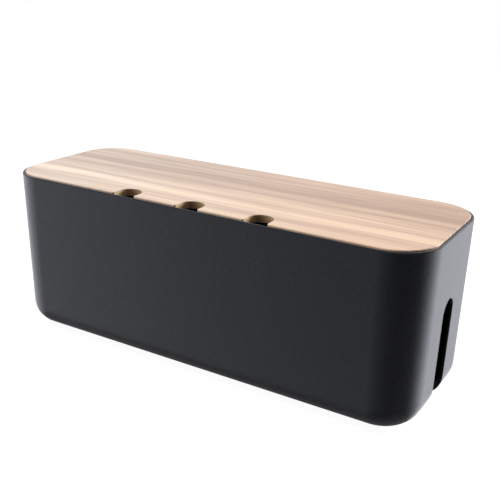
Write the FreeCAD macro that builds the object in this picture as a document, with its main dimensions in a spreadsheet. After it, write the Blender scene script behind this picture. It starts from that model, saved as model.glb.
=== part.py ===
import FreeCAD, Part
import math
import os
import Sketcher

# Cable management box: one moulded tub, a drop-in wooden lid and four rubber feet.
# Millimetres, +Z up, X along the box, -Y the front, which has the notches of the lid.
# The origin is on the table under the middle of the box.

doc = FreeCAD.newDocument("cable_box")

driving_sizes = [
    ("box_length", 400, "outer length at the rim"),
    ("box_width", 143, "outer width at the rim"),
    ("shell_height", 149, "underside of the tub to its rim"),
    ("wall_thickness", 2, "walls and floor"),
    ("rim_corner_radius", 36, "outer upright corners at the rim"),
    ("draft_angle", 1.1, "degrees that each wall leans in towards the floor"),
    ("bottom_radius", 22, "outer round between walls and floor"),
    ("rim_rounding", 0.5, "both edges of the rim"),
    ("slot_rounding", 0.4, "edges of the cable slots"),
    ("slot_width", 23.5, "cable slot in each end wall"),
    ("slot_top", 95, "underside of the tub to the crown of the slot"),
    ("slot_reach", 10, "start of the flat floor to the inner end of the slot"),
    ("rib_thickness", 1.6, "upright ribs that carry the lid"),
    ("rib_reach", 3.5, "rib beyond the inside of the wall, at the rim"),
    ("outer_rib_place", 140, "middle of the box to the outer ribs of the long walls"),
    ("end_rib_place", 28, "middle of the box to the ribs of the end walls"),
    ("lid_gap", 0.5, "between the lid's edge and the inside of the rim"),
    ("lid_proud", 1.2, "lid above the rim"),
    ("core_thickness", 5, "fibreboard core of the lid"),
    ("veneer_thickness", 0.5, "each face of the lid"),
    ("veneer_rounding", 0.4, "upper edge of the top veneer"),
    ("notch_count", 3, "cable notches in the front edge of the lid"),
    ("notch_width", 21, "cable notch"),
    ("notch_depth", 19, "front edge of the lid to the back of the notch"),
    ("notch_pitch", 64, "notch to notch"),
    ("notch_mouth_rounding", 2, "upright corners where a notch meets the front edge"),
    ("foot_diameter", 14, "rubber foot"),
    ("foot_thickness", 2, "rubber foot"),
    ("foot_recess", 0.8, "depth that a foot is let into the floor"),
    ("foot_clearance", 0.3, "around a foot in its recess"),
    ("foot_rounding", 0.5, "lower edge of a foot"),
    ("foot_inset", 14, "start of the flat floor to the middle of a foot"),
    ("cut_overrun", 5, "length that a cut runs past what it cuts"),
    ("tolerance", 0.005, "distance within which two places count as one"),
]

sizes = doc.addObject("Spreadsheet::Sheet", "sizes")
for row, (alias, value, note) in enumerate(driving_sizes, start=1):
    sizes.set(f"A{row}", alias)
    sizes.set(f"B{row}", str(value))
    sizes.set(f"C{row}", note)
    sizes.setAlias(f"B{row}", alias)
doc.recompute()

# Places that several pieces share, as expressions on the sheet.
foot_proud = "(sizes.foot_thickness - sizes.foot_recess)"
lean = "(sizes.shell_height * tan(sizes.draft_angle))"
rim_inside_length = "(sizes.box_length - 2 * sizes.wall_thickness)"
rim_inside_width = "(sizes.box_width - 2 * sizes.wall_thickness)"
rim_inside_corner = "(sizes.rim_corner_radius - sizes.wall_thickness)"
lid_length = f"({rim_inside_length} - 2 * sizes.lid_gap)"
lid_width = f"({rim_inside_width} - 2 * sizes.lid_gap)"
lid_corner = f"({rim_inside_corner} - sizes.lid_gap)"
lid_thickness = "(sizes.core_thickness + 2 * sizes.veneer_thickness)"
seat_height = f"(sizes.shell_height + sizes.lid_proud - {lid_thickness})"
first_notch = "(sizes.notch_pitch * (sizes.notch_count - 1) / 2)"
flat_floor_x = f"(sizes.box_length / 2 - {lean} - sizes.bottom_radius)"
flat_floor_y = f"(sizes.box_width / 2 - {lean} - sizes.bottom_radius)"
foot_x = f"({flat_floor_x} - sizes.foot_inset)"
foot_y = f"({flat_floor_y} - sizes.foot_inset)"


def measure(expression):
    # The number that an expression on the sheet gives now.
    result = sizes.evalExpression(expression)
    return float(getattr(result, "Value", result))


def new_body(label, x="0 mm", y="0 mm", z="0 mm"):
    # An empty body, its own origin at x, y, z.
    body = doc.addObject("PartDesign::Body", label)
    body.Label = label
    body.setExpression("Placement.Base.x", x)
    body.setExpression("Placement.Base.y", y)
    body.setExpression("Placement.Base.z", z)
    return body


def origin_part(body, role):
    for feature in body.Origin.OriginFeatures:
        if feature.Role == role:
            return feature
    raise ValueError(role)


def new_sketch(body, name, plane):
    sketch = body.newObject("Sketcher::SketchObject", name)
    sketch.AttachmentSupport = [(origin_part(body, plane), "")]
    sketch.MapMode = "FlatFace"
    return sketch


def bind(sketch, constraint, name, expression):
    # Adds a dimension to the sketch and ties it to the sheet.
    index = sketch.addConstraint(constraint)
    sketch.renameConstraint(index, name)
    sketch.setExpression(f"Constraints.{name}", expression)


def point(across, up):
    return FreeCAD.Vector(across, up, 0)


def rounded_rectangle(sketch, length, width, corner):
    # A centred rectangle with round corners, drawn anticlockwise from its lower side.
    half_length = measure(length) / 2
    half_width = measure(width) / 2
    radius = measure(corner)
    inner_length = half_length - radius
    inner_width = half_width - radius
    centres = [
        (inner_length, -inner_width, -math.pi / 2),
        (inner_length, inner_width, 0),
        (-inner_length, inner_width, math.pi / 2),
        (-inner_length, -inner_width, math.pi),
    ]
    sides = [
        (point(-inner_length, -half_width), point(inner_length, -half_width)),
        (point(half_length, -inner_width), point(half_length, inner_width)),
        (point(inner_length, half_width), point(-inner_length, half_width)),
        (point(-half_length, inner_width), point(-half_length, -inner_width)),
    ]
    side_ids = []
    arc_ids = []
    for (start, end), (across, up, turn) in zip(sides, centres):
        side_ids.append(sketch.addGeometry(Part.LineSegment(start, end)))
        circle = Part.Circle(point(across, up), FreeCAD.Vector(0, 0, 1), radius)
        arc = Part.ArcOfCircle(circle, turn, turn + math.pi / 2)
        arc_ids.append(sketch.addGeometry(arc))
    for number, side in enumerate(side_ids):
        arc = arc_ids[number]
        next_side = side_ids[(number + 1) % len(side_ids)]
        sketch.addConstraint(Sketcher.Constraint("Tangent", side, 2, arc, 1))
        sketch.addConstraint(Sketcher.Constraint("Tangent", arc, 2, next_side, 1))
    for arc in arc_ids[1:]:
        sketch.addConstraint(Sketcher.Constraint("Equal", arc_ids[0], arc))
    lower, right, upper, left = side_ids
    sketch.addConstraint(Sketcher.Constraint("Horizontal", upper))
    sketch.addConstraint(Sketcher.Constraint("Vertical", left))
    sketch.addConstraint(Sketcher.Constraint("Symmetric", lower, 1, lower, 2, -2))
    sketch.addConstraint(Sketcher.Constraint("Symmetric", right, 1, right, 2, -1))
    bind(sketch, Sketcher.Constraint("DistanceX", left, 1, right, 1, 2 * half_length),
         "length", length)
    bind(sketch, Sketcher.Constraint("DistanceY", lower, 1, upper, 1, 2 * half_width),
         "width", width)
    bind(sketch, Sketcher.Constraint("Radius", arc_ids[0], radius), "corner", corner)


def arch(sketch, middle, foot, crown, width):
    # An upright slot outline: a straight foot, two sides and a half round crown.
    across = measure(middle)
    low = measure(foot)
    radius = measure(width) / 2
    spring = measure(crown) - radius
    base = sketch.addGeometry(
        Part.LineSegment(point(across - radius, low), point(across + radius, low)))
    right = sketch.addGeometry(
        Part.LineSegment(point(across + radius, low), point(across + radius, spring)))
    circle = Part.Circle(point(across, spring), FreeCAD.Vector(0, 0, 1), radius)
    crown_arc = sketch.addGeometry(Part.ArcOfCircle(circle, 0, math.pi))
    left = sketch.addGeometry(
        Part.LineSegment(point(across - radius, spring), point(across - radius, low)))
    sketch.addConstraint(Sketcher.Constraint("Coincident", base, 2, right, 1))
    sketch.addConstraint(Sketcher.Constraint("Coincident", left, 2, base, 1))
    sketch.addConstraint(Sketcher.Constraint("Tangent", right, 2, crown_arc, 1))
    sketch.addConstraint(Sketcher.Constraint("Tangent", crown_arc, 2, left, 1))
    sketch.addConstraint(Sketcher.Constraint("Horizontal", base))
    sketch.addConstraint(Sketcher.Constraint("Vertical", right))
    sketch.addConstraint(Sketcher.Constraint("Vertical", left))
    bind(sketch, Sketcher.Constraint("DistanceX", base, 1, base, 2, 2 * radius), "width", width)
    bind(sketch, Sketcher.Constraint("DistanceX", -1, 1, crown_arc, 3, across), "middle", middle)
    bind(sketch, Sketcher.Constraint("DistanceY", -1, 1, crown_arc, 3, spring),
         "spring", f"{crown} - {width} / 2")
    bind(sketch, Sketcher.Constraint("DistanceY", -1, 1, base, 1, low), "foot", foot)


def rectangle(sketch, name, low_x, high_x, low_y, high_y):
    corners = [
        point(measure(low_x), measure(low_y)),
        point(measure(high_x), measure(low_y)),
        point(measure(high_x), measure(high_y)),
        point(measure(low_x), measure(high_y)),
    ]
    lines = []
    for number, corner in enumerate(corners):
        next_corner = corners[(number + 1) % len(corners)]
        lines.append(sketch.addGeometry(Part.LineSegment(corner, next_corner)))
    for number, line in enumerate(lines):
        next_line = lines[(number + 1) % len(lines)]
        direction = "Horizontal" if number % 2 == 0 else "Vertical"
        sketch.addConstraint(Sketcher.Constraint("Coincident", line, 2, next_line, 1))
        sketch.addConstraint(Sketcher.Constraint(direction, line))
    low, high = corners[0], corners[2]
    bind(sketch, Sketcher.Constraint("DistanceX", -1, 1, lines[0], 1, low.x), name + "_x1", low_x)
    bind(sketch, Sketcher.Constraint("DistanceY", -1, 1, lines[0], 1, low.y), name + "_y1", low_y)
    bind(sketch, Sketcher.Constraint("DistanceX", -1, 1, lines[2], 1, high.x), name + "_x2", high_x)
    bind(sketch, Sketcher.Constraint("DistanceY", -1, 1, lines[2], 1, high.y), name + "_y2", high_y)


def circle(sketch, middle_x, middle_y, diameter):
    middle = point(measure(middle_x), measure(middle_y))
    radius = measure(diameter) / 2
    ring = sketch.addGeometry(Part.Circle(middle, FreeCAD.Vector(0, 0, 1), radius))
    bind(sketch, Sketcher.Constraint("DistanceX", -1, 1, ring, 3, middle.x), "x", middle_x)
    bind(sketch, Sketcher.Constraint("DistanceY", -1, 1, ring, 3, middle.y), "y", middle_y)
    bind(sketch, Sketcher.Constraint("Diameter", ring, 2 * radius), "diameter", diameter)


def pad(body, name, sketch, length):
    feature = body.newObject("PartDesign::Pad", name)
    feature.Profile = sketch
    feature.setExpression("Length", length)
    body.Tip = feature
    doc.recompute()
    return feature


def pocket(body, name, sketch, length, reverse=False):
    # Cuts against the sketch's normal, or along it when reversed, and must take something away.
    before = body.Shape.Volume
    feature = body.newObject("PartDesign::Pocket", name)
    feature.Profile = sketch
    feature.Reversed = reverse
    feature.setExpression("Length", length)
    body.Tip = feature
    doc.recompute()
    if not feature.Shape.Volume < before:
        raise ValueError(f"{name} cuts nothing")
    return feature


def fillet(body, name, wanted, radius):
    # Rounds the edges of the body's tip that the test picks out.
    base = body.Tip
    edges = [f"Edge{number}" for number, edge in enumerate(base.Shape.Edges, start=1)
             if wanted(edge)]
    feature = body.newObject("PartDesign::Fillet", name)
    feature.Base = (base, edges)
    feature.setExpression("Radius", radius)
    body.Tip = feature
    doc.recompute()


def mirror(body, name, planes, originals):
    # Repeats cuts on the other side of one origin plane, or of two planes in turn.
    mirrors = []
    for number, plane in enumerate(planes, start=1):
        half = doc.addObject("PartDesign::Mirrored", f"{name}_{number}")
        half.MirrorPlane = (origin_part(body, plane), [""])
        mirrors.append(half)
    feature = body.newObject("PartDesign::MultiTransform", name)
    feature.Originals = originals
    feature.Transformations = mirrors
    body.Tip = feature
    doc.recompute()


def in_one_place(first, second):
    return abs(first - second) < measure("sizes.tolerance")


def at_height(height):
    # A test for edges that lie flat at one height above their body's origin.
    level = measure(height)

    def wanted(edge):
        box = edge.BoundBox
        return in_one_place(box.ZMin, level) and in_one_place(box.ZMax, level)

    return wanted


def leaning_block(body, name, length, width, corner, height):
    # A block with round corners, to size at its top, whose sides lean in towards its underside.
    outline = new_sketch(body, f"{name}_outline", "XY_Plane")
    rounded_rectangle(outline, length, width, corner)
    block = pad(body, f"{name}_block", outline, height)
    sides = []
    top = []
    for number, face in enumerate(block.Shape.Faces, start=1):
        if not in_one_place(face.BoundBox.ZLength, 0):
            sides.append(f"Face{number}")
        elif not in_one_place(face.BoundBox.ZMin, 0):
            top.append(f"Face{number}")
    draft = body.newObject("PartDesign::Draft", f"{name}_draft")
    draft.Base = (block, sides)
    draft.NeutralPlane = (block, top)
    draft.Reversed = True
    draft.setExpression("Angle", "sizes.draft_angle")
    body.Tip = draft
    doc.recompute()


def make_hollow():
    # The inside of the tub, as the core of its mould: a block with a slit for each lid rib.
    # It stands on the floor of the tub and ends at the rim.
    body = new_body("hollow", z="sizes.wall_thickness")
    leaning_block(body, "core", rim_inside_length, rim_inside_width, rim_inside_corner,
                  "sizes.shell_height - sizes.wall_thickness")
    fillet(body, "core_round", at_height("0 mm"), "sizes.bottom_radius - sizes.wall_thickness")

    plan = new_sketch(body, "rib_plan", "XY_Plane")
    half_rib = "sizes.rib_thickness / 2"
    long_wall = f"-{rim_inside_width} / 2"
    for name, place in (("middle", "sizes.notch_pitch / 2"), ("outer", "sizes.outer_rib_place")):
        rectangle(plan, name, f"{place} - {half_rib}", f"{place} + {half_rib}",
                  f"{long_wall} - sizes.cut_overrun", f"{long_wall} + sizes.rib_reach")
    end_wall = f"{rim_inside_length} / 2"
    rectangle(plan, "end", f"{end_wall} - sizes.rib_reach", f"{end_wall} + sizes.cut_overrun",
              f"-sizes.end_rib_place - {half_rib}", f"-sizes.end_rib_place + {half_rib}")
    slits = pocket(body, "rib_slits", plan, f"{seat_height} - sizes.wall_thickness", reverse=True)
    mirror(body, "all_rib_slits", ["YZ_Plane", "XZ_Plane"], [slits])
    return body


def make_tub():
    body = new_body("tub", z=foot_proud)
    leaning_block(body, "shell", "sizes.box_length", "sizes.box_width",
                  "sizes.rim_corner_radius", "sizes.shell_height")
    fillet(body, "shell_round", at_height("0 mm"), "sizes.bottom_radius")

    hollowing = body.newObject("PartDesign::Boolean", "hollowing")
    hollowing.Type = "Cut"
    hollowing.setObjects([make_hollow()])
    body.Tip = hollowing
    doc.recompute()

    foot_plan = new_sketch(body, "foot_plan", "XY_Plane")
    circle(foot_plan, foot_x, foot_y, "sizes.foot_diameter + 2 * sizes.foot_clearance")
    recess = pocket(body, "foot_recess", foot_plan, "sizes.foot_recess", reverse=True)
    mirror(body, "foot_recesses", ["YZ_Plane", "XZ_Plane"], [recess])

    # Each slot is an arch through the end wall and the bottom round, with a round end in the floor.
    slot_middle = f"({flat_floor_x} - sizes.slot_reach + sizes.slot_width / 2)"
    slot_outline = new_sketch(body, "slot_outline", "YZ_Plane")
    slot_outline.setExpression("AttachmentOffset.Base.z", slot_middle)
    arch(slot_outline, "0 mm", "-sizes.cut_overrun", "sizes.slot_top", "sizes.slot_width")
    slot_length = f"sizes.box_length / 2 - {slot_middle} + sizes.cut_overrun"
    slot = pocket(body, "slot", slot_outline, slot_length, reverse=True)
    slot_end_plan = new_sketch(body, "slot_end_plan", "XY_Plane")
    circle(slot_end_plan, slot_middle, "0 mm", "sizes.slot_width")
    slot_end = pocket(body, "slot_end", slot_end_plan,
                      "sizes.wall_thickness + sizes.cut_overrun", reverse=True)
    mirror(body, "both_slots", ["YZ_Plane"], [slot, slot_end])

    half_width = measure("sizes.slot_width / 2 + sizes.tolerance")
    middle = measure(slot_middle)
    spring = measure("sizes.slot_top - sizes.slot_width / 2")

    def around_slot(edge):
        # Not the seams inside a cut, where its flat sides meet its round ends.
        box = edge.BoundBox
        if max(-box.YMin, box.YMax) > half_width:
            return False
        if min(abs(box.XMin), abs(box.XMax)) < middle - half_width:
            return False
        at_spring = in_one_place(box.ZMin, spring) and in_one_place(box.ZMax, spring)
        at_middle = in_one_place(abs(box.XMin), middle) and in_one_place(abs(box.XMax), middle)
        return not at_spring and not at_middle

    fillet(body, "slot_round", around_slot, "sizes.slot_rounding")
    fillet(body, "rim_round", at_height("sizes.shell_height"), "sizes.rim_rounding")
    return body


def make_lid_layer(label, height, thickness):
    # The lid's outline with its notches, one layer thick, raised by height.
    body = new_body(label, z=height)
    outline = new_sketch(body, f"{label}_outline", "XY_Plane")
    rounded_rectangle(outline, lid_length, lid_width, lid_corner)
    pad(body, f"{label}_sheet", outline, thickness)

    plan = new_sketch(body, f"{label}_notch_plan", "XY_Plane")
    front = f"-{lid_width} / 2"
    arch(plan, f"-{first_notch}", f"{front} - sizes.cut_overrun",
         f"({front} + sizes.notch_depth)", "sizes.notch_width")
    notch = pocket(body, f"{label}_notch", plan, thickness, reverse=True)
    notches = body.newObject("PartDesign::LinearPattern", f"{label}_notches")
    notches.Originals = [notch]
    notches.Direction = (origin_part(body, "X_Axis"), [""])
    notches.setExpression("Length", f"2 * {first_notch}")
    notches.setExpression("Occurrences", "sizes.notch_count")
    body.Tip = notches
    doc.recompute()

    front_edge = measure(front)
    span = measure(f"{first_notch} + sizes.notch_width")

    def at_mouth(edge):
        box = edge.BoundBox
        upright = in_one_place(box.XLength, 0) and in_one_place(box.YLength, 0)
        return upright and in_one_place(box.YMin, front_edge) and abs(box.XMin) < span

    fillet(body, f"{label}_mouths", at_mouth, "sizes.notch_mouth_rounding")
    return body


def make_lid():
    core_bottom = f"{seat_height} + sizes.veneer_thickness"
    top_bottom = f"{core_bottom} + sizes.core_thickness"
    back = make_lid_layer("lid_back_veneer", f"{foot_proud} + {seat_height}",
                          "sizes.veneer_thickness")
    core = make_lid_layer("lid_core", f"{foot_proud} + {core_bottom}", "sizes.core_thickness")
    top = make_lid_layer("lid_top_veneer", f"{foot_proud} + {top_bottom}",
                         "sizes.veneer_thickness")
    fillet(top, "top_edge", at_height("sizes.veneer_thickness"), "sizes.veneer_rounding")
    return [back, core, top]


def make_foot(label, x, y):
    body = new_body(label, x=x, y=y)
    outline = new_sketch(body, f"{label}_outline", "XY_Plane")
    circle(outline, "0 mm", "0 mm", "sizes.foot_diameter")
    pad(body, f"{label}_pad", outline, "sizes.foot_thickness")
    fillet(body, f"{label}_round", at_height("0 mm"), "sizes.foot_rounding")
    return body


def make_feet():
    feet = []
    for end, y in (("front", f"-{foot_y}"), ("rear", foot_y)):
        for side, x in (("left", f"-{foot_x}"), ("right", foot_x)):
            feet.append(make_foot(f"foot_{end}_{side}", x, y))
    return feet


def write(parts):
    for thing in doc.Objects:
        if "Invalid" in thing.State or "Error" in thing.State:
            raise ValueError(f"{thing.Name}: {thing.getStatusString()}")
    os.makedirs("parts", exist_ok=True)
    for part in parts:
        shape = part.Shape
        if shape.isNull() or not shape.isValid() or len(shape.Solids) != 1:
            raise ValueError(f"{part.Label} is no sound solid")
        shape.exportStep(f"parts/{part.Label}.step")
        print(part.Label, round(shape.Volume), "cubic mm")


parts = [make_tub()] + make_lid() + make_feet()
doc.recompute()
write(parts)
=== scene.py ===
from math import cos, pi, radians, sin, tan
import bmesh
import bpy
from mathutils import Matrix, Vector


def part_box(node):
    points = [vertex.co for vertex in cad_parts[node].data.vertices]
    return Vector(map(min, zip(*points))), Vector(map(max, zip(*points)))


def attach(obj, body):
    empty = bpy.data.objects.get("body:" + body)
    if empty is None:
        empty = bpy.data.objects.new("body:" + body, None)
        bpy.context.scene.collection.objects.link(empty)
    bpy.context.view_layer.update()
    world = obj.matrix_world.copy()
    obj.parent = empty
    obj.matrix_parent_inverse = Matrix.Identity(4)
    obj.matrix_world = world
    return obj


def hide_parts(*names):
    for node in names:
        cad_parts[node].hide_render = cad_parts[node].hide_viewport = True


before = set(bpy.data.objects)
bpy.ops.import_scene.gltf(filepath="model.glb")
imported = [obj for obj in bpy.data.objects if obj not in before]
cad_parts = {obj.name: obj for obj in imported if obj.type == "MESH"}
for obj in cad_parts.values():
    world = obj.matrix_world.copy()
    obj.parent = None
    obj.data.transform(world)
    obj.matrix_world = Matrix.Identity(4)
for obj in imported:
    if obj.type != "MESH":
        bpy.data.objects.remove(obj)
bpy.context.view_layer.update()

mm = 0.001
hair = 0.01 * mm          # places this close count as one
weldGap = 0.001 * mm
arcSteps = 64             # sides of the round tools
sharpEdge = radians(40)   # an edge that turns further is a corner to bevel
smoothUpTo = radians(35)  # an edge that turns less is shaded smooth
noiseRange = (0.3, 0.7)   # where nearly all of a noise lies


# Working on meshes

def chooseOnly(piece):
    bpy.ops.object.select_all(action="DESELECT")
    piece.select_set(True)
    bpy.context.view_layer.objects.active = piece


def editOnly(piece):
    chooseOnly(piece)
    bpy.ops.object.mode_set(mode="EDIT")
    bpy.ops.mesh.select_mode(type="FACE")
    bpy.ops.mesh.select_all(action="SELECT")


def leaveEditing():
    bpy.ops.object.mode_set(mode="OBJECT")


def takeNew(name):
    # the primitive just added, named, with its place in its mesh
    piece = bpy.context.object
    piece.name = name
    piece.data.name = name
    bpy.ops.object.transform_apply(location=True, rotation=True, scale=True)
    return piece


def pick(kind, wanted):
    # selects what the test wants of the mesh in edit mode
    bpy.ops.mesh.select_mode(type=kind)
    bpy.ops.mesh.select_all(action="DESELECT")
    mesh = bmesh.from_edit_mesh(bpy.context.object.data)
    for thing in {"VERT": mesh.verts, "EDGE": mesh.edges, "FACE": mesh.faces}[kind]:
        if wanted(thing):
            thing.select_set(True)
    mesh.select_flush_mode()
    bmesh.update_edit_mesh(bpy.context.object.data)


def facesTowards(direction):
    return lambda face: face.normal.dot(direction) > 0.99


def weldAndTurnOut():
    # closes the seams of the mesh in edit mode and turns its faces outwards
    bpy.ops.mesh.select_all(action="SELECT")
    bpy.ops.mesh.remove_doubles(threshold=weldGap)
    bpy.ops.mesh.normals_make_consistent(inside=False)
    leaveEditing()


def roundedSheet(name, length, width, corner, height, steps):
    # a flat sheet with round corners, left in edit mode with its one face selected
    bpy.ops.object.select_all(action="DESELECT")
    bpy.ops.mesh.primitive_plane_add(size=1, location=(0, 0, height))
    sheet = takeNew(name)
    editOnly(sheet)
    bpy.ops.transform.resize(value=(length, width, 1), center_override=(0, 0, height))
    bpy.ops.mesh.bevel(offset=corner, segments=steps, affect="VERTICES")
    bpy.ops.mesh.select_all(action="SELECT")
    return sheet


def insetAlong(path):
    # insets the selected face from point to point of a path of (inward, height) pairs
    for (inward, height), (nextInward, nextHeight) in zip(path, path[1:]):
        bpy.ops.mesh.inset(thickness=nextInward - inward, depth=nextHeight - height,
                           use_even_offset=True)


def halfRound(name, centre, radius, length, along, run):
    # a half cylinder whose flat side is drawn out by the run: the tool for an arch or a U
    turn = (0, pi / 2, 0) if along == "X" else (0, 0, 0)
    bpy.ops.object.select_all(action="DESELECT")
    bpy.ops.mesh.primitive_cylinder_add(vertices=arcSteps, radius=radius, depth=length,
                                        location=centre, rotation=turn)
    tool = takeNew(name)
    editOnly(tool)
    direction = run.normalized()
    bpy.ops.mesh.bisect(plane_co=centre, plane_no=direction, use_fill=True, clear_outer=True)
    pick("FACE", facesTowards(direction))
    bpy.ops.mesh.extrude_region_move(TRANSFORM_OT_translate={"value": run})
    weldAndTurnOut()
    return tool


def mirroredCopy(piece, sideways):
    # a copy turned over by a scale such as (-1, 1, 1)
    chooseOnly(piece)
    bpy.ops.object.duplicate()
    other = bpy.context.object
    editOnly(other)
    bpy.ops.transform.resize(value=sideways, center_override=(0, 0, 0))
    weldAndTurnOut()
    return other


def combine(piece, tool, operation):
    chooseOnly(piece)
    change = piece.modifiers.new("combine", "BOOLEAN")
    change.operation = operation
    change.solver = "EXACT"
    change.object = tool
    bpy.ops.object.modifier_apply(modifier=change.name)
    bpy.data.objects.remove(tool)


def smooth(piece):
    # smooth curves beside flats that stay flat
    chooseOnly(piece)
    bpy.ops.object.shade_smooth_by_angle(angle=smoothUpTo)
    weights = piece.modifiers.new("flat faces lead", "WEIGHTED_NORMAL")
    weights.keep_sharp = True
    bpy.ops.object.modifier_apply(modifier=weights.name)


# Nodes and finishes

def newFinish(name):
    finish = bpy.data.materials.new(name)
    finish.use_nodes = True
    tree = finish.node_tree
    return finish, tree, tree.nodes["Principled BSDF"]


def addNode(tree, kind, label, inputs=None, **settings):
    node = tree.nodes.new(kind)
    node.label = label
    for key, value in settings.items():
        setattr(node, key, value)
    for key, value in (inputs or {}).items():
        if isinstance(value, bpy.types.NodeSocket):
            tree.links.new(value, node.inputs[key])
        else:
            node.inputs[key].default_value = value
    return node


def objectPlaces(tree, label, scale=(1, 1, 1)):
    # object coordinates in metres, stretched to the size of a pattern
    source = addNode(tree, "ShaderNodeTexCoord", label + " places")
    return addNode(tree, "ShaderNodeMapping", label + " stretch",
                   {"Vector": source.outputs["Object"], "Scale": scale}).outputs["Vector"]


def separated(tree, label):
    # the X, Y and Z of the object coordinates
    return addNode(tree, "ShaderNodeSeparateXYZ", label,
                   {0: objectPlaces(tree, label)}).outputs


def noise(tree, label, scale, detail=3, roughness=0.55):
    node = addNode(tree, "ShaderNodeTexNoise", label,
                   {"Vector": objectPlaces(tree, label, scale), "Scale": 1, "Detail": detail,
                    "Roughness": roughness})
    return node.outputs["Fac"]


def spread(tree, label, value, low, high, newLow=0.0, newHigh=1.0):
    return addNode(tree, "ShaderNodeMapRange", label,
                   {"Value": value, "From Min": low, "From Max": high,
                    "To Min": newLow, "To Max": newHigh}).outputs["Result"]


def spreadNoise(tree, label, value, newLow=0.0, newHigh=1.0):
    return spread(tree, label, value, *noiseRange, newLow, newHigh)


def calculate(tree, label, operation, first, second):
    return addNode(tree, "ShaderNodeMath", label, {0: first, 1: second},
                   operation=operation).outputs[0]


def blendColours(tree, label, amount, first, second, blendType="MIX"):
    node = addNode(tree, "ShaderNodeMix", label, data_type="RGBA", blend_type=blendType)
    for key, value in ((0, amount), (6, first), (7, second)):
        if isinstance(value, bpy.types.NodeSocket):
            tree.links.new(value, node.inputs[key])
        else:
            node.inputs[key].default_value = value if key == 0 else (*value, 1)
    return node.outputs[2]


def bump(tree, shader, label, height, distance):
    node = addNode(tree, "ShaderNodeBump", label,
                   {"Height": height, "Distance": distance, "Strength": 1})
    tree.links.new(node.outputs["Normal"], shader.inputs["Normal"])


def giveFinish(piece, finish):
    piece.data.materials.clear()
    piece.data.materials.append(finish)


def install(piece, finish, body, slot, *nodes):
    giveFinish(piece, finish)
    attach(piece, body)
    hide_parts(*nodes)


# Tub: one moulding with leaning walls, a rounded rim, two cable slots and ribs that carry the lid

footNodes = [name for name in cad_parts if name.startswith("foot_")]

tubShape = {
    "wall": 2 * mm,
    "cornerRadius": 36 * mm,
    "cornerSteps": 20,
    "lean": radians(1.1),
    "bottomRadius": 22 * mm,
    "bottomSteps": 14,
    "rimRounding": 0.9 * mm,
    "rimSteps": 6,
    "slotWidth": 23.5 * mm,
    "slotTop": 95 * mm,
    "slotReach": 10 * mm,
    "slotRounding": 0.4 * mm,
    "slotRoundingSteps": 3,
    "ribThickness": 1.6 * mm,
    "ribReach": 3.5 * mm,
    "ribFoot": 14 * mm,
    "ribBite": 0.25 * mm,
    "ribRounding": 0.3 * mm,
    "ribRoundingSteps": 3,
    "longWallRibs": (32 * mm, 140 * mm),
    "endWallRib": 28 * mm,
    "footRecess": 0.8 * mm,
    "footGap": 0.3 * mm,
    "footSteps": 48,
    "smoothRimShare": 0.7,
    "overrun": 8 * mm,
}


def bottomRound(inward, start, floor, radius):
    # down a leaning wall from its start and round into the floor
    lean = tubShape["lean"]
    wallEnd = floor + radius * (1 + sin(lean))
    middle = inward + (start - wallEnd) * tan(lean) + radius * cos(lean)
    path = []
    for step in range(tubShape["bottomSteps"] + 1):
        turn = -lean + (pi / 2 + lean) * step / tubShape["bottomSteps"]
        path.append((middle - radius * cos(turn), floor + radius - radius * sin(turn)))
    return path


def rimPath(start):
    # over the rim, from the outside of the wall to its inside
    rounding, wall, steps = tubShape["rimRounding"], tubShape["wall"], tubShape["rimSteps"]
    turns = [pi / 2 * step / steps for step in range(steps + 1)]
    outer = [(rounding - rounding * cos(turn), start + rounding * sin(turn)) for turn in turns]
    inner = [(wall - inward, height) for inward, height in reversed(outer)]
    return outer + inner


def mouldShell():
    shape = tubShape
    low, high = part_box("tub")
    start = high.z - shape["rimRounding"]
    shell = roundedSheet("tubMoulding", high.x - low.x, high.y - low.y, shape["cornerRadius"],
                         start, shape["cornerSteps"])
    bpy.ops.mesh.duplicate()
    insetAlong([(0, start)] + bottomRound(0, start, low.z, shape["bottomRadius"]))

    def firstSheet(face):
        return len(face.verts) > 4 and abs(face.calc_center_median().z - start) < hair

    pick("FACE", firstSheet)
    insetAlong(rimPath(start) + bottomRound(shape["wall"], start, low.z + shape["wall"],
                                            shape["bottomRadius"] - shape["wall"]))
    weldAndTurnOut()
    return shell


def slotTool(middle, radius, spring):
    # an arch through the end wall, with a round end in the floor
    low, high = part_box("tub")
    over = tubShape["overrun"]
    length = high.x + over - middle
    tool = halfRound("slotTool", Vector((middle + length / 2, 0, spring)), radius, length, "X",
                     Vector((0, 0, low.z - over - spring)))
    depth = tubShape["wall"] + 2 * over
    bpy.ops.object.select_all(action="DESELECT")
    bpy.ops.mesh.primitive_cylinder_add(vertices=arcSteps, radius=radius, depth=depth,
                                        location=(middle, 0, low.z - over + depth / 2))
    combine(tool, takeNew("slotEndTool"), "UNION")
    return tool


def cutSlots(shell):
    shape = tubShape
    low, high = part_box("tub")
    radius = shape["slotWidth"] / 2
    lean = (high.z - low.z) * tan(shape["lean"])
    middle = high.x - lean - shape["bottomRadius"] - shape["slotReach"] + radius
    spring = low.z + shape["slotTop"] - radius
    tool = slotTool(middle, radius, spring)
    other = mirroredCopy(tool, (-1, 1, 1))
    combine(shell, tool, "DIFFERENCE")
    combine(shell, other, "DIFFERENCE")
    editOnly(shell)

    def aroundSlot(edge):
        if max(abs(vert.co.y) for vert in edge.verts) > radius + hair:
            return False
        if min(abs(vert.co.x) for vert in edge.verts) < middle - radius - hair:
            return False
        if max(vert.co.z for vert in edge.verts) > spring + radius + hair:
            return False
        return edge.calc_face_angle(0) > sharpEdge

    pick("EDGE", aroundSlot)
    bpy.ops.mesh.bevel(offset=shape["slotRounding"], segments=shape["slotRoundingSteps"],
                       affect="EDGES")
    leaveEditing()


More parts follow.
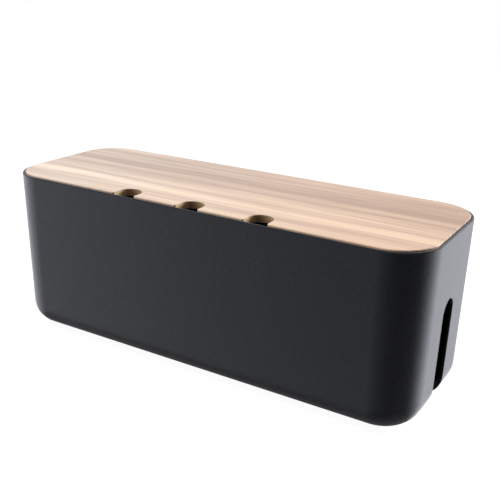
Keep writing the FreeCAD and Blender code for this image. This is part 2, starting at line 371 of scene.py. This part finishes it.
def ribBar(place, inside, wallTop, wallBottom, bottom, top, acrossEnd):
    # one rib, its inner face upright and its outer face in the leaning wall
    shape = tubShape
    bpy.ops.object.select_all(action="DESELECT")
    bpy.ops.mesh.primitive_cube_add(size=1, location=(0, 0, 0))
    bar = takeNew("rib")
    editOnly(bar)
    depth = wallTop - inside
    middle = (inside + wallTop) / 2
    bpy.ops.transform.resize(value=(shape["ribThickness"], depth, top - bottom))
    bpy.ops.transform.translate(value=(place, middle, (top + bottom) / 2))
    pick("VERT", lambda vert: vert.co.z < (top + bottom) / 2 and vert.co.y > middle)
    bpy.ops.transform.translate(value=(0, wallBottom - wallTop, 0))

    def innerEdge(edge):
        atInside = [abs(vert.co.y - inside) < hair for vert in edge.verts]
        low = [vert.co.z < (top + bottom) / 2 for vert in edge.verts]
        return all(atInside) and not all(low)

    pick("EDGE", innerEdge)
    bpy.ops.mesh.bevel(offset=shape["ribRounding"], segments=shape["ribRoundingSteps"],
                       affect="EDGES")
    leaveEditing()
    if acrossEnd:
        bar.rotation_euler.z = -pi / 2
        chooseOnly(bar)
        bpy.ops.object.transform_apply(rotation=True)
    return bar


def addRibs(shell):
    shape = tubShape
    low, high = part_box("tub")
    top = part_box("lid_back_veneer")[0].z
    bottom = low.z + shape["ribFoot"]
    bars = []
    for along, places, acrossEnd in ((high.y, shape["longWallRibs"], False),
                                     (high.x, (shape["endWallRib"],), True)):
        innerWall = along - shape["wall"]
        wallTop = innerWall - (high.z - top) * tan(shape["lean"]) + shape["ribBite"]
        wallBottom = innerWall - (high.z - bottom) * tan(shape["lean"]) + shape["ribBite"]
        for place in places:
            bar = ribBar(place, innerWall - shape["ribReach"], wallTop, wallBottom, bottom, top,
                         acrossEnd)
            beside = mirroredCopy(bar, (1, -1, 1) if acrossEnd else (-1, 1, 1))
            sideways = (-1, 1, 1) if acrossEnd else (1, -1, 1)
            bars += [bar, beside, mirroredCopy(bar, sideways), mirroredCopy(beside, sideways)]
    bpy.ops.object.select_all(action="DESELECT")
    for bar in bars:
        bar.select_set(True)
    bpy.context.view_layer.objects.active = bars[0]
    bpy.ops.object.join()
    combine(shell, bars[0], "UNION")


def cutFootRecesses(shell):
    shape = tubShape
    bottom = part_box("tub")[0].z
    for node in footNodes:
        low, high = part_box(node)
        centre = (low + high) / 2
        depth = shape["footRecess"] + shape["overrun"]
        bpy.ops.object.select_all(action="DESELECT")
        bpy.ops.mesh.primitive_cylinder_add(
            vertices=shape["footSteps"], radius=(high.x - low.x) / 2 + shape["footGap"], depth=depth,
            location=(centre.x, centre.y, bottom + shape["footRecess"] - depth / 2))
        combine(shell, takeNew("recessTool"), "DIFFERENCE")


tubLook = {
    "colour": (0.005, 0.0065, 0.012),
    "paleColour": (0.022, 0.0245, 0.034),
    "speckle": 0.4,
    "patchSize": 1 / 24,
    "patches": 0.1,
    "roughness": 0.36,
    "roughnessChange": 0.03,
    "gloss": 0.1,
    "bloom": 0.735,
    "bloomRoughness": 0.5,
    "bloomTint": (0.9, 0.92, 1.0, 1),
    "sparkSize": 1.3 * mm,
    "sparkRange": (0.35, 0.65),
    "sparkDepth": 0.2 * mm,
    "rimGloss": 0.12,
    "rimBloom": 0.2,
}


def tubFinish(name, gloss, bloom):
    # charcoal plastic with a spark-eroded skin: dull face on, pale at a low angle
    look = tubLook
    finish, tree, shader = newFinish(name)
    spark = noise(tree, "spark texture", (1 / look["sparkSize"],) * 3, detail=4, roughness=0.6)
    patches = noise(tree, "uneven skin", (1 / look["patchSize"],) * 3, detail=5)
    tone = calculate(tree, "speckled skin", "ADD",
                     spread(tree, "speckle", spark, *look["sparkRange"],
                            -look["speckle"], look["speckle"]),
                     spreadNoise(tree, "skin spread", patches,
                                 0.5 - look["patches"], 0.5 + look["patches"]))
    tree.links.new(blendColours(tree, "charcoal", tone, look["colour"], look["paleColour"]),
                   shader.inputs["Base Color"])
    tree.links.new(spreadNoise(tree, "gloss spread", patches,
                               look["roughness"] - look["roughnessChange"],
                               look["roughness"] + look["roughnessChange"]),
                   shader.inputs["Roughness"])
    shader.inputs["Specular IOR Level"].default_value = gloss
    shader.inputs["Sheen Weight"].default_value = bloom
    shader.inputs["Sheen Roughness"].default_value = look["bloomRoughness"]
    shader.inputs["Sheen Tint"].default_value = look["bloomTint"]
    bump(tree, shader, "spark relief", spark, look["sparkDepth"])
    return finish


def finishRim(shell):
    # the rim takes a copy of the plastic with less sheen, so it renders darker: painted shade under
    # the lid's edge
    look, shape = tubLook, tubShape
    shell.data.materials.append(tubFinish("smoothRim", look["rimGloss"], look["rimBloom"]))
    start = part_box("tub")[1].z - shape["smoothRimShare"] * shape["rimRounding"]
    editOnly(shell)
    pick("FACE", lambda face: face.calc_center_median().z > start)
    shell.active_material_index = 1
    bpy.ops.object.material_slot_assign()
    leaveEditing()


def makeTub():
    look = tubLook
    shell = mouldShell()
    cutSlots(shell)
    cutFootRecesses(shell)
    addRibs(shell)
    smooth(shell)
    install(shell, tubFinish("charcoalMoulding", look["gloss"], look["bloom"]), "tub",
            "tub_plastic", "tub")
    finishRim(shell)
    print("tub modelled")


# Lid: a fibreboard core between two veneers, with three cable notches in its front edge

lidShape = {
    "cornerRadius": 33.5 * mm,
    "cornerSteps": 20,
    "edgeRounding": 1 * mm,
    "edgeSteps": 6,
    "faceTurnedDown": 1.8 * mm,
    "faceThickness": 0.35 * mm,
    "notchWidth": 21 * mm,
    "notchDepth": 19 * mm,
    "notchPlaces": (-64 * mm, 0, 64 * mm),
    "mouthRounding": 2 * mm,
    "mouthSteps": 6,
    "notchEdge": 0.15 * mm,
    "notchEdgeSteps": 2,
    "overrun": 5 * mm,
}


def lidPath(inward, top, bottom):
    # up the side of the lid and over its rounded edge
    shape = lidShape
    rounding = shape["edgeRounding"] - inward
    path = [(inward, bottom)]
    for step in range(shape["edgeSteps"] + 1):
        turn = pi / 2 * step / shape["edgeSteps"]
        path.append((inward + rounding - rounding * cos(turn),
                     top - rounding + rounding * sin(turn)))
    return path


def lidSheet(name, height):
    low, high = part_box("lid_core")
    shape = lidShape
    return roundedSheet(name, high.x - low.x, high.y - low.y, shape["cornerRadius"], height,
                        shape["cornerSteps"])


def notchTool(place, low, high):
    # a U that opens beyond the lid's edge, with its mouth flared round
    shape = lidShape
    radius, over = shape["notchWidth"] / 2, shape["overrun"]
    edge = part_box("lid_core")[0].y
    back = edge + shape["notchDepth"] - radius
    tool = halfRound("notchTool", Vector((place, back, (low + high) / 2)), radius,
                     high - low + 2 * over, "Z", Vector((0, edge - over - back, 0)))
    editOnly(tool)
    bpy.ops.mesh.bisect(plane_co=(0, edge - hair, 0), plane_no=(0, 1, 0))
    for side in (-1, 1):
        towardsSide = facesTowards(Vector((side, 0, 0)))
        pick("FACE", lambda face: towardsSide(face)
             and face.calc_center_median().y < edge - hair)
        bpy.ops.mesh.extrude_region_move(TRANSFORM_OT_translate={"value": (side * over, 0, 0)})

    def mouthCorner(corner):
        first, second = (vert.co for vert in corner.verts)
        upright = abs(first.x - second.x) < hair and abs(first.y - second.y) < hair
        atEdge = abs(first.y - edge) < 2 * hair
        atSide = abs(abs(first.x - place) - radius) < hair
        return upright and atEdge and atSide

    pick("EDGE", mouthCorner)
    bpy.ops.mesh.bevel(offset=shape["mouthRounding"], segments=shape["mouthSteps"], affect="EDGES")
    weldAndTurnOut()
    return tool


def cutNotches(layer, low, high):
    for place in lidShape["notchPlaces"]:
        combine(layer, notchTool(place, low, high), "DIFFERENCE")


def makeFace():
    # the wood-grain face, its rim turned down over the edge of the board
    shape = lidShape
    low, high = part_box("lid_top_veneer")
    bottom = high.z - shape["faceTurnedDown"]
    face = lidSheet("lidTopVeneer", bottom)
    bpy.ops.mesh.duplicate()
    insetAlong(lidPath(0, high.z, bottom))
    pick("FACE", lambda sheet: len(sheet.verts) > 4
         and abs(sheet.calc_center_median().z - bottom) < hair)
    insetAlong([(0, bottom)] + lidPath(shape["faceThickness"], low.z, bottom))
    weldAndTurnOut()
    cutNotches(face, bottom, high.z)
    editOnly(face)
    pick("EDGE", lambda edge: min(vert.co.z for vert in edge.verts) > high.z - hair
         and edge.calc_face_angle(0) > sharpEdge)
    bpy.ops.mesh.bevel(offset=shape["notchEdge"], segments=shape["notchEdgeSteps"], affect="EDGES")
    leaveEditing()
    smooth(face)
    return face


def makeCore():
    # the board, stepped back where the face turns down over it
    shape = lidShape
    low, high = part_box("lid_core")
    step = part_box("lid_top_veneer")[1].z - shape["faceTurnedDown"]
    core = lidSheet("lidCore", low.z)
    bpy.ops.mesh.duplicate()
    insetAlong([(0, low.z), (0, step)] + lidPath(shape["faceThickness"], high.z, step))
    weldAndTurnOut()
    cutNotches(core, low.z, high.z)
    smooth(core)
    return core


def makeBacking():
    low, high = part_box("lid_back_veneer")
    backing = lidSheet("lidBackVeneer", low.z)
    bpy.ops.mesh.extrude_region_move(TRANSFORM_OT_translate={"value": (0, 0, high.z - low.z)})
    weldAndTurnOut()
    cutNotches(backing, low.z, high.z)
    smooth(backing)
    return backing


veneerLook = {
    "dark": (0.348, 0.238, 0.178),
    "middle": (0.478, 0.342, 0.256),
    "light": (0.68, 0.516, 0.378),
    "middleTone": 0.45,
    "leftTint": (0.98, 1.05, 1.13),
    "rightTint": (1.035, 0.955, 0.905),
    "tintReach": (-140 * mm, 150 * mm),
    "bands": ((0.0, 0.78), (0.06, 0.7), (0.13, 0.5), (0.17, 0.62), (0.22, 0.94), (0.27, 0.8),
              (0.315, 0.52), (0.37, 0.68), (0.44, 0.5), (0.5, 0.22), (0.56, 0.42), (0.61, 0.1),
              (0.67, 0.02), (0.74, 0.26), (0.9, 0.26), (1.0, 0.6)),
    "drift": (5, 9, 1),
    "driftReach": 3 * mm,
    "broadStreaks": (2.2, 110, 1),
    "broadReach": 0.2,
    "fineStreaks": (9, 300, 1),
    "fineReach": 0.24,
    "frontShares": (0.2, 0.02),
    "frontEnds": (-150 * mm, 150 * mm),
    "frontTones": (-0.2, 0.25),
    "roughness": (0.41, 0.33),  # of the dark and of the light streaks
    "poreDepth": 0.03 * mm,
}


def growthBands(tree, share, bands):
    # the tone from the front of the lid to its back
    ramp = addNode(tree, "ShaderNodeValToRGB", "growth bands", {0: share})
    ramp.color_ramp.interpolation = "CARDINAL"
    stops = ramp.color_ramp.elements
    while len(stops) < len(bands):
        stops.new(0.5)
    for stop, (place, tone) in zip(stops, bands):
        stop.position = place
        stop.color = (tone, tone, tone, 1)
    return ramp.outputs["Color"]


def veneerFinish():
    # streaked veneer, its grain along the box, redder to the right, pale and bluish to the left as a
    # painted reflection, and paler at the front right
    look = veneerLook
    finish, tree, shader = newFinish("streakedVeneer")
    low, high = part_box("lid_top_veneer")
    drift = noise(tree, "drift of the grain", look["drift"], detail=2)
    lid = separated(tree, "along and across")
    along, across = lid["X"], lid["Y"]
    bent = calculate(tree, "bent grain", "ADD", across,
                     spreadNoise(tree, "drift reach", drift, -look["driftReach"], look["driftReach"]))
    share = spread(tree, "front to back", bent, low.y, high.y)
    bands = growthBands(tree, share, look["bands"])
    broad = noise(tree, "broad streaks", look["broadStreaks"])
    fine = noise(tree, "fine streaks", look["fineStreaks"], detail=4)
    front = calculate(tree, "front right", "MULTIPLY",
                      spread(tree, "near the front", share, *look["frontShares"]),
                      spread(tree, "left to right", along, *look["frontEnds"], *look["frontTones"]))
    tone = calculate(tree, "with the front", "ADD", bands, front)
    for label, pattern in (("broad", broad), ("fine", fine)):
        reach = look[label + "Reach"]
        tone = calculate(tree, "with " + label + " streaks", "ADD", tone,
                         spreadNoise(tree, label + " reach", pattern, -reach, reach))
    lower = blendColours(tree, "dark to middle",
                         spread(tree, "lower", tone, 0.0, look["middleTone"]),
                         look["dark"], look["middle"])
    colour = blendColours(tree, "to light", spread(tree, "upper", tone, look["middleTone"], 1.0),
                          lower, look["light"])
    # painted reflection: the left end is tinted pale and bluish, and the right end is redder
    tint = blendColours(tree, "tint", spread(tree, "redder", along, *look["tintReach"]),
                        look["leftTint"], look["rightTint"])
    tree.links.new(blendColours(tree, "tinted", 1.0, colour, tint, "MULTIPLY"),
                   shader.inputs["Base Color"])
    tree.links.new(spreadNoise(tree, "streak gloss", fine, *look["roughness"]),
                   shader.inputs["Roughness"])
    bump(tree, shader, "pore relief", fine, look["poreDepth"])
    return finish


boardLook = {
    "dark": (0.62, 0.42, 0.23),
    "pale": (0.86, 0.65, 0.41),
    "scorched": (0.26, 0.14, 0.06),
    "scorchStart": 6 * mm,
    "scorchFull": 2 * mm,
    "scorchInwards": (0.25, 0.9),
    "scorchUpwards": (1, 0.45),
    "fibres": (1200, 1200, 500),
    "fibreDepth": 0.05 * mm,
    "roughness": 0.85,
}


def boardFinish():
    # bare fibreboard, with painted shade darkening it at the notch crowns and towards its underside
    look = boardLook
    finish, tree, shader = newFinish("bareFibreboard")
    low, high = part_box("lid_core")
    fibres = noise(tree, "fibres", look["fibres"])
    tone = blendColours(tree, "board tone", spreadNoise(tree, "fibre spread", fibres),
                        look["dark"], look["pale"])
    edge = separated(tree, "along the edge")
    # painted shade: the board turns darker brown into the notch crown and towards its underside,
    # where shade falls
    crown = low.y + lidShape["notchDepth"]
    inwards = spread(tree, "into the notch", edge["Y"], crown - look["scorchStart"],
                     crown - look["scorchFull"], *look["scorchInwards"])
    upwards = spread(tree, "up the board", edge["Z"], low.z, high.z, *look["scorchUpwards"])
    scorch = calculate(tree, "scorch reach", "MULTIPLY", inwards, upwards)
    tree.links.new(blendColours(tree, "scorch", scorch, tone, look["scorched"]),
                   shader.inputs["Base Color"])
    shader.inputs["Roughness"].default_value = look["roughness"]
    bump(tree, shader, "fibre relief", fibres, look["fibreDepth"])
    return finish


backingLook = {
    "dark": (0.40, 0.28, 0.20),
    "pale": (0.58, 0.44, 0.33),
    "streaks": (6, 300, 1),
    "roughness": 0.55,
}


def backingFinish():
    look = backingLook
    finish, tree, shader = newFinish("plainBacking")
    streaks = noise(tree, "streaks", look["streaks"])
    tree.links.new(blendColours(tree, "backing tone", streaks, look["dark"], look["pale"]),
                   shader.inputs["Base Color"])
    shader.inputs["Roughness"].default_value = look["roughness"]
    return finish


def makeLid():
    install(makeFace(), veneerFinish(), "lid", "lid_veneer", "lid_top_veneer")
    install(makeCore(), boardFinish(), "lid", "lid_board", "lid_core")
    install(makeBacking(), backingFinish(), "lid", "lid_backing", "lid_back_veneer")
    print("lid modelled")


# Feet: rubber pads with a grooved underside

footShape = {
    "steps": 48,
    "rounding": 0.5 * mm,
    "roundingSteps": 4,
    "land": 1.6 * mm,
    "groove": 0.9 * mm,
    "grooveDepth": 0.35 * mm,
}


footLook = {
    "dark": (0.012, 0.012, 0.013),
    "pale": (0.024, 0.024, 0.025),
    "mottle": (900, 900, 900),
    "mottleDepth": 0.02 * mm,
    "roughness": 0.7,
}


def rubberFinish():
    look = footLook
    finish, tree, shader = newFinish("footRubber")
    mottle = noise(tree, "mottle", look["mottle"], detail=2)
    tree.links.new(blendColours(tree, "rubber tone", mottle, look["dark"], look["pale"]),
                   shader.inputs["Base Color"])
    shader.inputs["Roughness"].default_value = look["roughness"]
    bump(tree, shader, "rubber relief", mottle, look["mottleDepth"])
    return finish


def makeFoot(node, finish):
    shape = footShape
    low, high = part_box(node)
    bpy.ops.object.select_all(action="DESELECT")
    bpy.ops.mesh.primitive_cylinder_add(vertices=shape["steps"], radius=(high.x - low.x) / 2,
                                        depth=high.z - low.z, location=(low + high) / 2)
    foot = takeNew("pad" + "".join(word.capitalize() for word in node.split("_")[1:]))
    editOnly(foot)
    underside = facesTowards(Vector((0, 0, -1)))
    pick("FACE", underside)
    bpy.ops.mesh.bevel(offset=shape["rounding"], segments=shape["roundingSteps"], affect="EDGES")
    pick("FACE", lambda face: underside(face) and len(face.verts) == shape["steps"])
    land, groove, depth = shape["land"], shape["groove"], -shape["grooveDepth"]
    insetAlong([(0, 0), (land, 0), (land + groove / 3, depth), (land + 2 * groove / 3, depth),
                (land + groove, 0)])
    weldAndTurnOut()
    smooth(foot)
    install(foot, finish, "tub", "foot_rubber", node)


def makeFeet():
    finish = rubberFinish()
    for node in footNodes:
        makeFoot(node, finish)
    print("feet modelled")


# Camera, the photograph's view

cameraPlace = {
    "azimuth": radians(30.6604),
    "elevation": radians(19.9872),
    "roll": radians(1.4386),
    "distance": 0.682,
    "lens": 55.962,
    "sensor": 36,
    "sightEnd": 100,
    "target": Vector((0.019598, 0, 0.098801)),
}


def placeCamera():
    place = cameraPlace
    around, above, roll = place["azimuth"], place["elevation"], place["roll"]
    back = Vector((sin(around) * cos(above), -cos(around) * cos(above), sin(above)))
    side = Vector((cos(around), sin(around), 0))
    up = back.cross(side)
    turnedSide = cos(roll) * side + sin(roll) * up
    turnedUp = cos(roll) * up - sin(roll) * side
    bpy.ops.object.camera_add(location=(0, 0, 0))
    camera = bpy.context.object
    camera.data.lens = place["lens"]
    camera.data.sensor_width = place["sensor"]
    camera.data.clip_end = place["sightEnd"]
    turn = Matrix((turnedSide, turnedUp, back)).transposed().to_4x4()
    camera.matrix_world = Matrix.Translation(place["target"] + place["distance"] * back) @ turn
    bpy.context.scene.camera = camera
    print("camera placed")


# Floor and light

studio = {
    "floorSize": 80,
    "floorColour": (0.15, 0.15, 0.15),
    "floorLift": 0.96,
    "floorLiftInGloss": 0.3,
    "worldLevel": 0.04,
    "worldBackLight": 1.0,
}


def whiteRays(tree):
    # the rays that see the white background: the camera's, and those of mirrors and glass
    rays = addNode(tree, "ShaderNodeLightPath", "which ray")
    mirrors = calculate(tree, "mirror or glass", "MAXIMUM",
                        rays.outputs["Is Glossy Ray"], rays.outputs["Is Transmission Ray"])
    return rays.outputs["Is Camera Ray"], mirrors


def layFloor():
    bpy.ops.mesh.primitive_plane_add(size=studio["floorSize"], location=(0, 0, 0))
    floor = bpy.context.object
    floor.name = "floor"
    finish, tree, shader = newFinish("floorWhite")
    shader.inputs["Base Color"].default_value = (*studio["floorColour"], 1)
    shader.inputs["Roughness"].default_value = 1
    shader.inputs["Specular IOR Level"].default_value = 0
    shader.inputs["Emission Color"].default_value = (1, 1, 1, 1)
    seen, mirrored = whiteRays(tree)
    lift = calculate(tree, "lift", "ADD",
                     calculate(tree, "seen", "MULTIPLY", seen, studio["floorLift"]),
                     calculate(tree, "mirrored", "MULTIPLY", mirrored, studio["floorLiftInGloss"]))
    tree.links.new(lift, shader.inputs["Emission Strength"])
    giveFinish(floor, finish)


def lightWorld():
    # soft light from all round and more from behind the box
    world = bpy.data.worlds.new("studio")
    world.use_nodes = True
    bpy.context.scene.world = world
    tree = world.node_tree
    background = tree.nodes["Background"]
    source = addNode(tree, "ShaderNodeTexCoord", "direction")
    behind = addNode(tree, "ShaderNodeSeparateXYZ", "towards the back",
                     {0: source.outputs["Generated"]}).outputs["Y"]
    soft = spread(tree, "soft light", behind, 0, 1, studio["worldLevel"],
                  studio["worldLevel"] + studio["worldBackLight"])
    seen, mirrored = whiteRays(tree)
    white = calculate(tree, "white rays", "MAXIMUM", seen, mirrored)
    share = calculate(tree, "other rays", "SUBTRACT", 1.0, white)
    strength = calculate(tree, "white or soft", "ADD", white,
                         calculate(tree, "soft share", "MULTIPLY", share, soft))
    tree.links.new(strength, background.inputs["Strength"])
    background.inputs["Color"].default_value = (1, 1, 1, 1)


# the light from behind is shared out, so that only some of it glares on the veneer
softboxes = {
    "backSoftbox": {"place": (1.0, 1.38, 0.45), "aim": (0.1, 0, 0.08), "size": 0.6,
                    "power": 32, "mirrored": False},
    "edgeSoftbox": {"place": (1.0, 1.38, 0.45), "aim": (0.1, 0, 0.08), "size": 0.6,
                    "power": 18, "mirrored": True},
    "frontSoftbox": {"place": (-0.75, -0.45, 1.4), "aim": (0, 0, 0.08), "size": 0.6,
                     "power": 26.5, "mirrored": False},
}


def addSoftboxes():
    for name, box in softboxes.items():
        bpy.ops.object.light_add(type="AREA", location=box["place"])
        lamp = bpy.context.object
        lamp.name = name
        lamp.data.shape = "RECTANGLE"
        lamp.data.size = box["size"]
        lamp.data.size_y = box["size"]
        lamp.data.energy = box["power"]
        lamp.visible_glossy = box["mirrored"]
        direction = Vector(box["aim"]) - Vector(box["place"])
        lamp.rotation_euler = direction.to_track_quat("-Z", "Y").to_euler()
    print("studio lit")


makeTub()
makeLid()
makeFeet()
placeCamera()
layFloor()
lightWorld()
addSoftboxes()

bpy.context.scene.view_settings.view_transform = "Standard"
